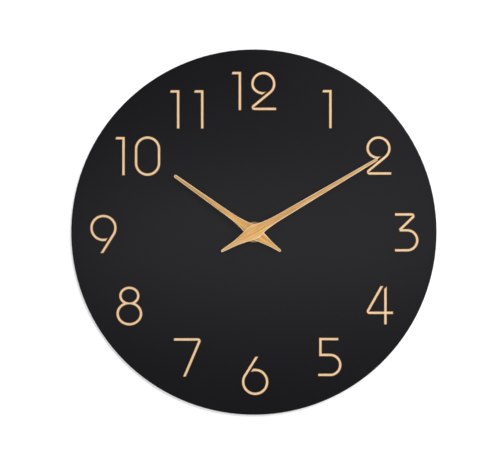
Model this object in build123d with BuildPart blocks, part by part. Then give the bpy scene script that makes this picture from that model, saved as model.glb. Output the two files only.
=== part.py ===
from build123d import *
import os
from math import acos, atan2, cos, degrees, hypot, pi, radians, sin, tan

# Frameless quartz wall clock with a 300 mm disc dial, applied line numerals and two leaf hands.
# Frame: the origin is on the hand axis in the wall plane, +Z runs up to twelve, the dial faces -Y.
# Heights are measured forward from the wall. Angles in the dial plane are counter-clockwise from +X
# as the reader of the dial sees them, and bearings are clockwise from twelve. Millimetres.

# ---------------------------------------------------------------- driving dimensions

# dial and numerals
dial_diameter = 300.0
dial_thickness = 5.0
dial_edge_round = 0.8
numeral_height = 32.0
numeral_stroke = 2.6
numeral_thickness = 0.4
numeral_inset = 32.0        # from the rim to the circle of numeral centres
round_overshoot = 0.5       # round digits stand this much past the cap line
digit_slit = 1.0            # open slit beside the end of a looped stroke

# hands
minute_length = 117.0
minute_tail = 31.0
hour_length = 79.8
hour_tail = 26.9
hand_thickness = 1.2
hand_belly = 11.7           # width at the pivot
shoulder_width = 9.0        # width where the belly turns into the flare
belly_shoulder = 6.6        # distance from the pivot to that shoulder
shaft_start = 25.0          # distance from the pivot at which the slim shaft starts
tail_start = 20.0           # distance from the pivot at which the tail's straight taper starts
minute_shaft_width = 5.1
minute_tip_width = 2.2
minute_tail_width = 3.8
hour_shaft_width = 4.4
hour_tip_width = 2.5
hour_tail_width = 3.4
tail_tip_width = 2.0
flare_share = 0.72          # part of the narrowing that a flare has made half way along it
tail_flare_share = 0.58
minute_bearing = 59.4       # just before ten past ten
hour_bearing = 305.4

# movement case
case_size = 56.0
case_depth = 16.0
case_wall = 1.5
case_corner = 4.0
chamber_corner = 1.0
bay_front_wall = 0.8
bay_height = 15.2
partition_thickness = 1.0
cover_thickness = 1.5
cover_gap = 0.15
post_radius = 1.6
peg_radius = 0.6
post_inset = 1.8            # plate edge to post centre
cover_post_inset = 2.1      # case wall to post centre
boss_radius = 1.4
boss_height = 0.8
notch_radius = 7.0
window_offset = 0.9         # rear cover to latch window
window_height = 1.8
latch_width = 5.0
latch_thickness = 1.0
latch_reach = 0.9
lower_latch = -3.0
upper_latch = 14.0

# what clamps the movement to the dial
hanger_thickness = 0.8
hanger_width = 24.0
hanger_foot = 12.0
hanger_rise = 15.0
hanger_bend = 1.6
hanger_wall_gap = 0.4
hanger_case_gap = 0.5
hanging_hole = 8.0
gasket_diameter = 22.0
gasket_thickness = 1.0
bushing_diameter = 8.0
bushing_flange = 12.0
bushing_flange_thickness = 1.0
bushing_proud = 0.6
bushing_chamfer = 0.3
bushing_hole_play = 0.2
washer_diameter = 17.0
washer_thickness = 0.8
nut_across_flats = 11.0
nut_corner = 0.35           # how far the turned corners stand past the flats
nut_thickness = 2.0

# fits
running_fit = 0.05          # radial, turning pieces
pivot_fit = 0.04            # radial, fine pivots
press_fit = 0.02            # radial, pieces fixed to each other
end_play = 0.3
shake = 0.2                 # arbor shoulder to boss

# shafts and arbors
minute_shaft_radius = 1.75
minute_journal_radius = 1.5
hour_tube_wall = 0.7
pivot_radius = 0.4
arbor_radius = 0.6
collar_height = 1.1
minute_collar_height = 0.9
collar_width = 1.3          # radial width of a hand collar
rivet_height = 0.8
hand_clearance = 0.5

# wheels
hour_wheel_thickness = 1.2
wheel_thickness = 0.8
train_lift = 1.5            # cover boss to the rearmost wheel
pinion_overlap = 0.3
plate_thickness = 1.0
plate_side_gap = 1.2        # plate edge to case wall, on the knob's side
plate_coil_gap = 5.5        # the same on the coil's side, which leaves the strip its way
plate_foot_gap = 0.8        # plate edge to battery bay
plate_web = 1.0             # left between the knob's hole and the plate's edge
plate_corner = 2.0
spacer_radius = 1.0
tooth_reach = 0.8           # height above the pitch circle, in modules
tooth_depth = 1.2           # depth below the pitch circle, in modules
tooth_tip = 0.8             # width of any tip, in modules
tooth_root = 2.0            # width of a wheel tooth at its root, in modules
leaf_root = 1.2             # the same for a pinion leaf, which is undercut
hub_radius = 1.4
hub_width = 1.0             # radial width of the centre wheel's hub
hub_clearance = 0.5
wheel_clearance = 0.46      # centre wheel to battery bay

cannon_leaves = 8
minute_teeth = 24
minute_pinion_leaves = 8
hour_teeth = 32
knob_leaves = 8
rotor_leaves = 6
intermediate_teeth = 36
intermediate_leaves = 6
seconds_teeth = 30
seconds_leaves = 6
third_teeth = 45
third_leaves = 6
centre_teeth = 48

motion_coarseness = 1.8     # modules of the other pairs, in modules of the centre wheel
intermediate_coarseness = 1.333
rotor_coarseness = 1.07
minute_wheel_angle = 35.0
knob_angle = 52.0
third_angle = 178.0
intermediate_angle = 100.0
rotor_angle = 140.0

# setting knob
knob_radius = 6.0
knob_thickness = 2.4
knob_recess = 0.4
knob_stem_radius = 1.2
knob_room = 0.6
knob_notch_radius = 0.7
knob_notches = 18
cup_wall = 0.8

# motor
magnet_radius = 2.5
magnet_wheel_gap = 0.65     # intermediate wheel to magnet
magnet_plate_gap = 0.35
rotor_air_gap = 0.6
stator_thickness = 1.0
stator_neck = 0.35
stator_arm = 4.0
stator_side_gap = 6.0       # case wall to stator
stator_right = 3.5
stator_head = 1.4           # how far the stator's arms stand past the core
stator_round = 1.5
stator_post_radius = 0.6
stator_post_inset = 0.7
core_height = 3.0
core_thickness = 1.2
bobbin_wall = 0.6
flange_height = 5.4
flange_thickness = 0.8
flange_gap = 0.2
winding_radius = 2.5

# electronics and cell
board_thickness = 0.8
board_height = 4.4
board_stator_gap = 1.7
board_post_gap = 0.3        # board to the cover's post beside it
board_plate_gap = 0.3
board_back = 7.0
board_post_radius = 1.2
left_post_inset = 2.5
right_post_inset = 8.0
chip_inset = 5.0            # board edge to chip centre
chip_radius = 1.9
chip_height = 0.9
chip_slope = 0.6
crystal_inset = 9.0         # board edge to crystal
crystal_radius = 1.0
crystal_length = 6.0
crystal_edge = 0.3
strip_thickness = 0.4
strip_width = 2.4
strip_back = 6.0
strip_bend = 1.5
strip_inset = 4.0           # board edge to the solder tail of the strip
contact_height = 11.5
contact_width = 10.5
cell_diameter = 14.5
spring_room = 2.08          # case wall to the flat end of the cell
nub_radius = 2.75
nub_length = 1.0
cell_crimp = 0.6

# ---------------------------------------------------------------- places worked out from them

half_case = case_size / 2
inner = half_case - case_wall
inner_front = case_depth - case_wall
bay_top = -inner + bay_height
chamber_bottom = bay_top + partition_thickness

dial_back = case_depth + hanger_thickness + gasket_thickness
dial_face = dial_back + dial_thickness
washer_face = dial_face + washer_thickness
nut_face = washer_face + nut_thickness
bushing_end = nut_face + bushing_proud
hour_collar_back = bushing_end + hand_clearance
hour_hand_back = hour_collar_back + collar_height
hour_hand_front = hour_hand_back + hand_thickness
minute_collar_back = hour_hand_front + end_play
minute_hand_back = minute_collar_back + minute_collar_height

hour_tube_bore = minute_shaft_radius + running_fit
hour_tube_radius = hour_tube_bore + hour_tube_wall

hour_wheel_front = inner_front - end_play
hour_wheel_back = hour_wheel_front - hour_wheel_thickness
boss_face = cover_thickness + boss_height
shoulder = boss_face + shake
intermediate_wheel_back = boss_face + train_lift
# the hour wheel in front, five thin wheels and the middle plate share the depth, with six equal gaps
layer_gap = (hour_wheel_back - intermediate_wheel_back - 5 * wheel_thickness - plate_thickness) / 6
minute_wheel_front = hour_wheel_back - layer_gap
minute_wheel_back = minute_wheel_front - wheel_thickness
centre_wheel_front = minute_wheel_back - layer_gap
centre_wheel_back = centre_wheel_front - wheel_thickness
plate_front = centre_wheel_back - layer_gap
plate_back = plate_front - plate_thickness
third_wheel_front = plate_back - layer_gap
third_wheel_back = third_wheel_front - wheel_thickness
seconds_wheel_front = third_wheel_back - layer_gap
seconds_wheel_back = seconds_wheel_front - wheel_thickness
intermediate_wheel_front = intermediate_wheel_back + wheel_thickness

# the centre wheel is as large as the battery bay lets it be, and sets the module of the train
train_module = 2 * (-chamber_bottom - wheel_clearance) / (centre_teeth + 2 * tooth_reach)
third_distance = train_module * (centre_teeth + third_leaves) / 2
minute_wheel_distance = motion_coarseness * train_module * (minute_teeth + cannon_leaves) / 2
knob_distance = motion_coarseness * train_module * (minute_teeth + knob_leaves) / 2
intermediate_distance = intermediate_coarseness * train_module * (seconds_teeth + intermediate_leaves) / 2
rotor_distance = rotor_coarseness * train_module * (intermediate_teeth + rotor_leaves) / 2


def polar(start, distance, angle):
    """The point at a distance and an angle from a start point in the dial plane."""
    return (start[0] + distance * cos(radians(angle)), start[1] + distance * sin(radians(angle)))


axis = (0.0, 0.0)
minute_wheel_at = polar(axis, minute_wheel_distance, minute_wheel_angle)
knob_at = polar(minute_wheel_at, knob_distance, knob_angle)
third_at = polar(axis, third_distance, third_angle)
intermediate_at = polar(axis, intermediate_distance, intermediate_angle)
rotor_at = polar(intermediate_at, rotor_distance, rotor_angle)

plate_left = plate_coil_gap - inner
plate_right = inner - plate_side_gap
plate_bottom = chamber_bottom + plate_foot_gap
plate_top = knob_at[1] + knob_stem_radius + plate_web
plate_middle = (plate_bottom + plate_top) / 2
plate_posts = [(x, z) for x in (plate_left + post_inset, plate_right - post_inset)
               for z in (plate_bottom + post_inset, plate_middle + post_inset)]
cover_posts = [(side * (inner - cover_post_inset), inner - cover_post_inset) for side in (-1, 1)]
latch_heights = [lower_latch, upper_latch]

os.makedirs("parts", exist_ok=True)


def level(height):
    """The plane parallel to the dial at a height off the wall; it extrudes towards the reader."""
    return Plane.XZ.offset(height)


def save(part, name):
    """Label a finished piece and write its STEP file."""
    part.label = name
    export_step(part, f"parts/{name}.step")


# ---------------------------------------------------------------- dial, numerals

with BuildPart() as dial_board:
    with BuildSketch(level(dial_back)):
        Circle(dial_diameter / 2)
        Circle(bushing_diameter / 2 + bushing_hole_play, mode=Mode.SUBTRACT)
    extrude(amount=dial_thickness)
    front_rim = dial_board.faces().sort_by(Axis.Y)[0].edges().sort_by(SortBy.RADIUS)[-1]
    fillet(front_rim, radius=dial_edge_round)
save(dial_board.part, "dial_board")

# Letterforms: a digit is drawn with its base line on y = 0 and its left side on x = 0, and its
# proportions are shares of the numeral height.
half = numeral_stroke / 2
cap = numeral_height
digit_share = {0: 0.67, 1: 0.26, 2: 0.655, 3: 0.62, 4: 0.71,
               5: 0.615, 6: 0.695, 7: 0.705, 8: 0.68, 9: 0.695}
digit_width = {digit: share * cap for digit, share in digit_share.items()}
flag_slant = 0.025 * cap
two_bowl = 0.278 * cap      # centreline radii of the bowls
two_hook = 0.24 * cap
lower_bowl = 0.256 * cap
two_slope = 39.6
four_corner = 0.028 * cap
four_apex = 0.42 * cap
four_bar = 0.306 * cap
four_stem = 0.506 * cap
five_stem = half + 0.026 * cap
six_tip = 0.394 * cap
seven_foot = 0.28 * cap
eight_bottom = (0.34 * cap, 0.3125 * cap)
eight_top = (0.269 * cap, 0.245 * cap)


def cut_outside_height():
    """Trim what a slanting stroke leaves above the cap line and below the base line."""
    with Locations((0, -cap), (0, 2 * cap)):
        Rectangle(4 * cap, 2 * cap, mode=Mode.SUBTRACT)


def draw_zero():
    width = digit_width[0]
    height = cap + 2 * round_overshoot
    with Locations((width / 2, cap / 2)):
        SlotOverall(height, width, rotation=90)
        SlotOverall(height - 2 * numeral_stroke, width - 2 * numeral_stroke, rotation=90,
                    mode=Mode.SUBTRACT)


def draw_one():
    right = digit_width[1]
    left = right - numeral_stroke
    under = cap - numeral_stroke
    with BuildLine() as outline:
        Polyline((left, 0), (right, 0), (right, cap), (flag_slant, cap), (0, under), (left, under),
                 close=True)
    make_face(outline.edges())


def clear_slit(start, direction):
    """Cut a loop off beside a straight stroke, with the open slit on the stroke's left."""
    with Locations(start):
        Rectangle(cap, 2 * numeral_stroke, rotation=direction, align=(Align.MIN, Align.MIN),
                  mode=Mode.SUBTRACT)
        Rectangle(cap, half + digit_slit, rotation=direction, align=(Align.MIN, Align.MAX),
                  mode=Mode.SUBTRACT)


def draw_two():
    centre = (half + two_bowl, cap - half - two_bowl)
    leave = polar(centre, two_bowl, two_slope - 90)
    corner = (leave[0] - (leave[1] - half) / tan(radians(two_slope)), half)
    with BuildLine() as hook:
        EllipticalCenterArc(centre, two_bowl, two_hook, 180, arc_size=120)
    trace(hook.edges(), line_width=numeral_stroke)
    clear_slit(leave, 180 + two_slope)
    with BuildLine() as outline:
        CenterArc(centre, two_bowl, 180, two_slope - 270)
        FilletPolyline(leave, corner, (digit_width[2], half), radius=half)
    trace(outline.edges(), line_width=numeral_stroke)


def draw_three():
    top = cap - half
    bowl_top = half + 2 * lower_bowl
    bowl_x = digit_width[3] - half - lower_bowl
    joint = (half + numeral_stroke, bowl_top)
    with BuildLine() as outline:
        FilletPolyline((0, top), (digit_width[3] - numeral_stroke, top), joint, radius=half)
    trace(outline.edges(), line_width=numeral_stroke)
    with BuildLine() as outline:
        Line(joint, (bowl_x, bowl_top))
        CenterArc((bowl_x, half + lower_bowl), lower_bowl, 90, -180)
        Line((bowl_x, half), (0, half))
    trace(outline.edges(), line_width=numeral_stroke)


def draw_four():
    lean = (four_apex - four_corner) / (cap - four_bar)
    beyond = (four_apex + lean * half, cap + half)
    with BuildLine() as outline:
        FilletPolyline(beyond, (four_corner, four_bar), (digit_width[4], four_bar), radius=half)
    trace(outline.edges(), line_width=numeral_stroke)
    left = four_stem - half
    right = four_stem + half
    with BuildLine() as outline:
        Polyline((left, 0), (right, 0), (right, cap), (left, cap - numeral_stroke), close=True)
    make_face(outline.edges())
    cut_outside_height()


def draw_five():
    top = cap - half
    bowl_top = half + 2 * lower_bowl
    bowl_x = digit_width[5] - half - lower_bowl
    with BuildLine() as outline:
        Polyline((digit_width[5] - numeral_stroke, top), (five_stem, top), (five_stem, bowl_top),
                 (bowl_x, bowl_top))
        CenterArc((bowl_x, half + lower_bowl), lower_bowl, 90, -180)
        Line((bowl_x, half), (0, half))
    trace(outline.edges(), line_width=numeral_stroke)


def draw_six():
    loop = digit_width[6] / 2 - half
    centre = (half + loop, half + loop)
    reach = hypot(six_tip - centre[0], cap - centre[1])
    touch_angle = degrees(atan2(cap - centre[1], six_tip - centre[0]) + acos(loop / reach))
    touch = polar(centre, loop, touch_angle)
    with Locations(centre):
        Circle(loop + half)
        Circle(loop - half, mode=Mode.SUBTRACT)
    clear_slit(touch, touch_angle - 90)
    with Locations(touch):
        Rectangle(cap, numeral_stroke, rotation=touch_angle - 90, align=(Align.MIN, Align.CENTER))
    cut_outside_height()


def draw_seven():
    top = cap - half
    with BuildLine() as outline:
        FilletPolyline((0, top), (digit_width[7] - half / 2, top), (seven_foot - half / 2, -half),
                       radius=half)
    trace(outline.edges(), line_width=numeral_stroke)
    cut_outside_height()


def draw_eight():
    middle = digit_width[8] / 2
    rings = (((middle, cap + round_overshoot - eight_top[1]), eight_top),
             ((middle, eight_bottom[1]), eight_bottom))
    for wall, mode in ((0, Mode.ADD), (numeral_stroke, Mode.SUBTRACT)):
        for centre, radii in rings:
            with Locations(centre):
                Ellipse(radii[0] - wall, radii[1] - wall, mode=mode)


drawing = {0: draw_zero, 1: draw_one, 2: draw_two, 3: draw_three, 4: draw_four, 5: draw_five,
           6: draw_six, 7: draw_seven, 8: draw_eight, 9: draw_six}

# Each numeral's centre: its bearing from twelve, and how far it stands off the circle of numerals,
# which lets the wide side numerals reach as near to the rim as the tall ones at the top.
numeral_ring = dial_diameter / 2 - numeral_inset
numeral_places = {1: (30.7, -0.02), 2: (58.5, 0.07), 3: (90.1, 0.23), 4: (120.2, 0.04), 5: (148.7, 0.06),
                  6: (179.5, 0.0), 7: (208.0, -0.05), 8: (239.2, 0.03), 9: (269.3, 0.17), 10: (303.2, -0.13),
                  11: (331.3, -0.1), 12: (0.0, -0.07)}
digit_spread = {10: 0.706, 11: 0.617, 12: 0.7}


def digit_plane(digit, x, z):
    """The dial face plane with its origin at the lower left of a digit centred on x, z."""
    width = digit_width[digit]
    if digit == 9:
        return Plane(origin=(x + width / 2, -dial_face, z + cap / 2), x_dir=(-1, 0, 0), z_dir=(0, -1, 0))
    return Plane(origin=(x - width / 2, -dial_face, z - cap / 2), x_dir=(1, 0, 0), z_dir=(0, -1, 0))


def digit_layout(number, x, z):
    """The digits of a numeral with their own centres, left to right."""
    if number < 10:
        return [(number, x, z)]
    first, second = divmod(number, 10)
    spread = digit_spread[number] * cap
    middle = x + (digit_width[first] - digit_width[second]) / 4
    return [(first, middle - spread / 2, z), (second, middle + spread / 2, z)]


for number, (bearing, off_ring) in numeral_places.items():
    numeral_x, numeral_z = polar(axis, numeral_ring + off_ring * cap, 90 - bearing)
    with BuildPart() as numeral:
        for digit, digit_x, digit_z in digit_layout(number, numeral_x, numeral_z):
            with BuildSketch(digit_plane(digit, digit_x, digit_z)):
                drawing[digit]()
            extrude(amount=numeral_thickness)
    save(numeral.part, f"numeral_{number}")

# ---------------------------------------------------------------- hands


def hand_plane(bearing, height):
    """A plane on the hand axis whose y runs along the hand and which extrudes towards the reader."""
    turn = radians(bearing)
    return Plane(origin=(0, -height, 0), x_dir=(cos(turn), 0, -sin(turn)), z_dir=(0, -1, 0))


def leaf_outline(length, tail, shaft_width, tip_width, tail_width):
    """A leaf hand: a belly at the pivot that flares into a slim tapering shaft and a short tail."""
    belly = hand_belly / 2
    shoulder = shoulder_width / 2
    shaft = shaft_width / 2
    tip = tip_width / 2
    waist = tail_width / 2
    end = tail_tip_width / 2
    shaft_taper = (tip - shaft) / (length - tip - shaft_start)
    tail_taper = (end - waist) / (tail - end - tail_start)
    flare = shoulder + (shaft - shoulder) * flare_share
    tail_flare = shoulder + (waist - shoulder) * tail_flare_share
    with BuildLine() as outline:
        for side in (1, -1):
            Spline((side * belly, 0), (side * shoulder, belly_shoulder),
                   (side * flare, (belly_shoulder + shaft_start) / 2), (side * shaft, shaft_start),
                   tangents=((0, 1), (side * shaft_taper, 1)))
            Line((side * shaft, shaft_start), (side * tip, length - tip))
            Spline((side * belly, 0), (side * shoulder, -belly_shoulder),
                   (side * tail_flare, -(belly_shoulder + tail_start) / 2), (side * waist, -tail_start),
                   tangents=((0, -1), (side * tail_taper, -1)))
            Line((side * waist, -tail_start), (side * end, -tail + end))
        ThreePointArc((-tip, length - tip), (0, length), (tip, length - tip))
        ThreePointArc((-end, -tail + end), (0, -tail), (end, -tail + end))
    make_face(outline.edges())


hour_rivet_radius = hour_tube_radius + collar_width / 2
with BuildPart() as hour_hand:
    with BuildSketch(hand_plane(hour_bearing, hour_hand_back)):
        leaf_outline(hour_length, hour_tail, hour_shaft_width, hour_tip_width, hour_tail_width)
        Circle(hour_rivet_radius + press_fit, mode=Mode.SUBTRACT)
    extrude(amount=hand_thickness)
save(hour_hand.part, "hour_hand")

with BuildPart() as hour_hand_boss:
    with BuildSketch(level(hour_collar_back)):
        Circle(hour_tube_radius + collar_width)
    extrude(amount=collar_height)
    with BuildSketch(level(hour_hand_back)):
        Circle(hour_rivet_radius)
    extrude(amount=rivet_height)
    with BuildSketch(level(hour_collar_back)):
        Circle(hour_tube_radius + press_fit)
    extrude(amount=collar_height + rivet_height, mode=Mode.SUBTRACT)
save(hour_hand_boss.part, "hour_hand_boss")

minute_rivet_radius = minute_shaft_radius + collar_width / 2
with BuildPart() as minute_hand:
    with BuildSketch(hand_plane(minute_bearing, minute_hand_back)):
        leaf_outline(minute_length, minute_tail, minute_shaft_width, minute_tip_width, minute_tail_width)
    extrude(amount=hand_thickness)
    with BuildSketch(level(minute_hand_back)):
        Circle(minute_rivet_radius + press_fit)
    extrude(amount=rivet_height, mode=Mode.SUBTRACT)
save(minute_hand.part, "minute_hand")

with BuildPart() as minute_hand_boss:
    with BuildSketch(level(minute_collar_back)):
        Circle(minute_shaft_radius + collar_width)
    extrude(amount=minute_collar_height)
    with BuildSketch(level(minute_hand_back)):
        Circle(minute_rivet_radius)
    extrude(amount=rivet_height - press_fit)
    with BuildSketch(level(minute_collar_back)):
        Circle(minute_shaft_radius + press_fit)
    extrude(amount=minute_collar_height + rivet_height, mode=Mode.SUBTRACT)
save(minute_hand_boss.part, "minute_hand_boss")

# ---------------------------------------------------------------- clamping stack

with BuildPart() as threaded_bushing:
    with BuildSketch(level(case_depth - bushing_flange_thickness)):
        Circle(bushing_flange / 2)
    extrude(amount=bushing_flange_thickness)
    with BuildSketch(level(inner_front)):
        Circle(bushing_diameter / 2)
    extrude(amount=bushing_end - inner_front)
    chamfer(threaded_bushing.edges().filter_by(GeomType.CIRCLE).sort_by(Axis.Y)[0], length=bushing_chamfer)
    with BuildSketch(level(inner_front)):
        Circle(hour_tube_radius + running_fit)
    extrude(amount=bushing_end - inner_front, mode=Mode.SUBTRACT)
save(threaded_bushing.part, "threaded_bushing")

hanger_top = half_case + hanger_case_gap + hanger_thickness / 2
hole_z = hanger_top + hanger_rise - hanging_hole
with BuildPart() as hanger_plate:
    with BuildSketch(Plane.YZ):
        with BuildLine():
            front_y = -case_depth - hanger_thickness / 2
            back_y = -hanger_wall_gap - hanger_thickness / 2
            FilletPolyline((front_y, -hanger_foot), (front_y, hanger_top), (back_y, hanger_top),
                           (back_y, hanger_top + hanger_rise), radius=hanger_bend)
        trace(line_width=hanger_thickness)
    extrude(amount=hanger_width / 2, both=True)
    with BuildSketch(Plane.XZ):
        with Locations((0, hole_z)):
            Circle(hanging_hole / 2)
    extrude(amount=case_depth / 2, mode=Mode.SUBTRACT)
    with BuildSketch(level(case_depth)):
        Circle(bushing_diameter / 2 + bushing_hole_play)
    extrude(amount=hanger_thickness, mode=Mode.SUBTRACT)
    straight = hanger_plate.edges().filter_by(Axis.Y)
    corners = straight.filter_by(lambda edge: edge.length < 2 * hanger_thickness)
    fillet(corners, radius=hanger_width / 6)
save(hanger_plate.part, "hanger_plate")

with BuildPart() as rubber_gasket:
    with BuildSketch(level(case_depth + hanger_thickness)):
        Circle(gasket_diameter / 2)
        Circle(bushing_diameter / 2 + bushing_hole_play, mode=Mode.SUBTRACT)
    extrude(amount=gasket_thickness)
save(rubber_gasket.part, "rubber_gasket")

with BuildPart() as dial_washer:
    with BuildSketch(level(dial_face)):
        Circle(washer_diameter / 2)
        Circle(bushing_diameter / 2 + bushing_hole_play, mode=Mode.SUBTRACT)
    extrude(amount=washer_thickness)
    outer_rim = dial_washer.faces().sort_by(Axis.Y)[0].edges().sort_by(SortBy.RADIUS)[-1]
    chamfer(outer_rim, length=washer_thickness / 4)
save(dial_washer.part, "dial_washer")

with BuildPart() as hex_nut:
    with BuildSketch(level(washer_face)):
        RegularPolygon(nut_across_flats / 2, 6, major_radius=False)
    extrude(amount=nut_thickness)
    with BuildSketch(level(washer_face)):
        Circle(nut_across_flats / 2 + nut_corner)
    extrude(amount=nut_thickness, mode=Mode.INTERSECT)
    with BuildSketch(level(washer_face)):
        Circle(bushing_diameter / 2 + press_fit)
    extrude(amount=nut_thickness, mode=Mode.SUBTRACT)
save(hex_nut.part, "hex_nut")

# ---------------------------------------------------------------- movement case


def arbor_plane(at, height):
    """A plane parallel to the dial with its origin on an arbor."""
    return Plane(origin=(at[0], -height, at[1]), x_dir=(1, 0, 0), z_dir=(0, -1, 0))


def disc(at, back, front, radius, mode=Mode.ADD):
    """A round boss, post, arbor or bore between two heights."""
    with BuildSketch(arbor_plane(at, back)) as face:
        Circle(radius)
    extrude(face.sketch, amount=front - back, mode=mode)


def block(left, right, bottom, top, back, front, mode=Mode.ADD):
    """A straight-sided block between two heights."""
    with BuildSketch(level(back)) as face:
        with Locations(((left + right) / 2, (bottom + top) / 2)):
            Rectangle(right - left, top - bottom)
    extrude(face.sketch, amount=front - back, mode=mode)


bay_depth = case_depth - bay_front_wall
bay_middle = (bay_top - inner) / 2
cell_height = bay_depth - shake - cell_diameter / 2
strip_front = strip_back + strip_width
window_back = cover_thickness + window_offset
window_front = window_back + window_height
pivot_hole = pivot_radius + pivot_fit

# the motor stands over its rotor, the coil over the stator's bar, the board beside the coil
rotor_hole = magnet_radius + rotor_air_gap
stator_low = rotor_at[1] - rotor_hole - stator_neck
stator_high = rotor_at[1] + rotor_hole + stator_neck
core_z = stator_high + flange_gap + flange_height / 2
stator_top = core_z + core_height / 2 + stator_head
stator_left = stator_side_gap - inner
stator_back = seconds_wheel_front + pinion_overlap + shake / 2
stator_front = stator_back + stator_thickness
core_front = stator_front + core_thickness
board_front = board_back + board_thickness
board_left = stator_right + board_stator_gap
board_right = inner - cover_post_inset - post_radius - board_post_gap
board_bottom = plate_top + board_plate_gap
board_top = board_bottom + board_height
board_middle = (board_bottom + board_top) / 2

board_posts = [(board_left + left_post_inset, board_middle), (board_right - right_post_inset, board_middle)]
stator_posts = [(x, stator_top - stator_post_inset)
                for x in (stator_left + stator_arm / 2, stator_right - stator_arm / 2)]
cup_floor_back = knob_recess + knob_thickness + shake
cup_floor_front = cup_floor_back + cup_wall

with BuildPart() as front_case:
    with BuildSketch(level(0)):
        RectangleRounded(case_size, case_size, case_corner)
    extrude(amount=case_depth)
    fillet(front_case.faces().sort_by(Axis.Y)[0].edges(), radius=case_wall / 2)
    # pocket for the rear cover, the train chamber and the deeper battery bay
    with BuildSketch(level(0)):
        with Locations((0, (bay_top + inner) / 2)):
            RectangleRounded(2 * inner, inner - bay_top, chamber_corner)
    extrude(amount=cover_thickness, mode=Mode.SUBTRACT)
    with BuildSketch(level(0)):
        with Locations((0, (chamber_bottom + inner) / 2)):
            RectangleRounded(2 * inner, inner - chamber_bottom, chamber_corner)
    extrude(amount=inner_front, mode=Mode.SUBTRACT)
    block(-inner, inner, -inner, bay_top, 0, bay_depth, Mode.SUBTRACT)
    # seat of the threaded bushing
    disc(axis, inner_front, case_depth, bushing_diameter / 2 + press_fit, Mode.SUBTRACT)
    disc(axis, case_depth - bushing_flange_thickness, case_depth, bushing_flange / 2 + press_fit,
         Mode.SUBTRACT)
    # posts for the middle plate, the cover, the stator and the circuit board
    for place in plate_posts:
        disc(place, plate_front, inner_front, post_radius)
        disc(place, plate_back, plate_front, peg_radius)
    for place in cover_posts:
        disc(place, cover_thickness, inner_front, post_radius)
    for place in stator_posts:
        disc(place, stator_front, inner_front, stator_post_radius)
    for place in board_posts:
        disc(place, board_front, inner_front, board_post_radius)
    # blind front pivot holes
    for place in (minute_wheel_at, third_at, knob_at):
        disc(place, inner_front, inner_front + case_wall / 2, pivot_hole, Mode.SUBTRACT)
    # slots for the contact strips, windows for the cover latches, thumb notch for the cell
    for side in (-1, 1):
        edge = side * (inner - 1.5 * strip_thickness)
        block(min(edge, side * inner), max(edge, side * inner), bay_top, chamber_bottom + chamber_corner,
              strip_back - shake, strip_front + shake, Mode.SUBTRACT)
        for z in latch_heights:
            block(min(side * inner, side * half_case), max(side * inner, side * half_case),
                  z - latch_width / 2 - shake, z + latch_width / 2 + shake, window_back, window_front,
                  Mode.SUBTRACT)
    with BuildSketch(Plane.XY.offset(-half_case)):
        Circle(notch_radius)
    extrude(amount=case_wall, mode=Mode.SUBTRACT)
save(front_case.part, "front_case")

with BuildPart() as rear_cover:
    with BuildSketch(level(0)):
        with Locations((0, (bay_top + inner) / 2)):
            RectangleRounded(2 * (inner - cover_gap), inner - bay_top - 2 * cover_gap, chamber_corner)
    extrude(amount=cover_thickness)
    disc(knob_at, 0, cup_floor_front, knob_radius + knob_room + cup_wall)
    disc(knob_at, 0, cup_floor_back, knob_radius + knob_room, Mode.SUBTRACT)
    disc(knob_at, cup_floor_back, cup_floor_front, knob_stem_radius + running_fit, Mode.SUBTRACT)
    for place in (axis, third_at, intermediate_at, rotor_at):
        disc(place, cover_thickness, boss_face, boss_radius)
        disc(place, cover_thickness - boss_height, boss_face, pivot_hole, Mode.SUBTRACT)
    for side in (-1, 1):
        outer = side * (inner - cover_gap)
        root = side * (inner - cover_gap - latch_thickness)
        barb = side * (inner + latch_reach)
        for z in latch_heights:
            low = z - latch_width / 2
            high = z + latch_width / 2
            block(min(outer, root), max(outer, root), low, high, cover_thickness, window_front)
            block(min(barb, root), max(barb, root), low, high, window_back + shake, window_front - shake)
save(rear_cover.part, "rear_cover")

with BuildPart() as middle_plate:
    with BuildSketch(level(plate_back)):
        with Locations(((plate_left + plate_right) / 2, plate_middle)):
            RectangleRounded(plate_right - plate_left, plate_top - plate_bottom, plate_corner)
    extrude(amount=plate_thickness)
    disc(axis, plate_back, plate_front, minute_journal_radius + running_fit, Mode.SUBTRACT)
    disc(third_at, plate_back, plate_front, hub_radius + hub_clearance, Mode.SUBTRACT)
    disc(knob_at, plate_back, plate_front, knob_stem_radius + running_fit, Mode.SUBTRACT)
    for place in (minute_wheel_at, intermediate_at, rotor_at):
        disc(place, plate_back, plate_front, pivot_hole, Mode.SUBTRACT)
    for place in plate_posts:
        disc(place, plate_back, plate_front, peg_radius + press_fit, Mode.SUBTRACT)
    for x in (stator_left + stator_arm / 2, stator_right - stator_arm / 2):
        disc((x, rotor_at[1]), stator_front, plate_back, spacer_radius)
save(middle_plate.part, "middle_plate")

# ---------------------------------------------------------------- wheel train


def mesh_phase(phase, teeth, next_teeth, direction):
    """The angle of a tooth of the next wheel when a tooth of this one stands at a given angle."""
    return direction + 180 + 180 / next_teeth - (phase - direction) * teeth / next_teeth


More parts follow.
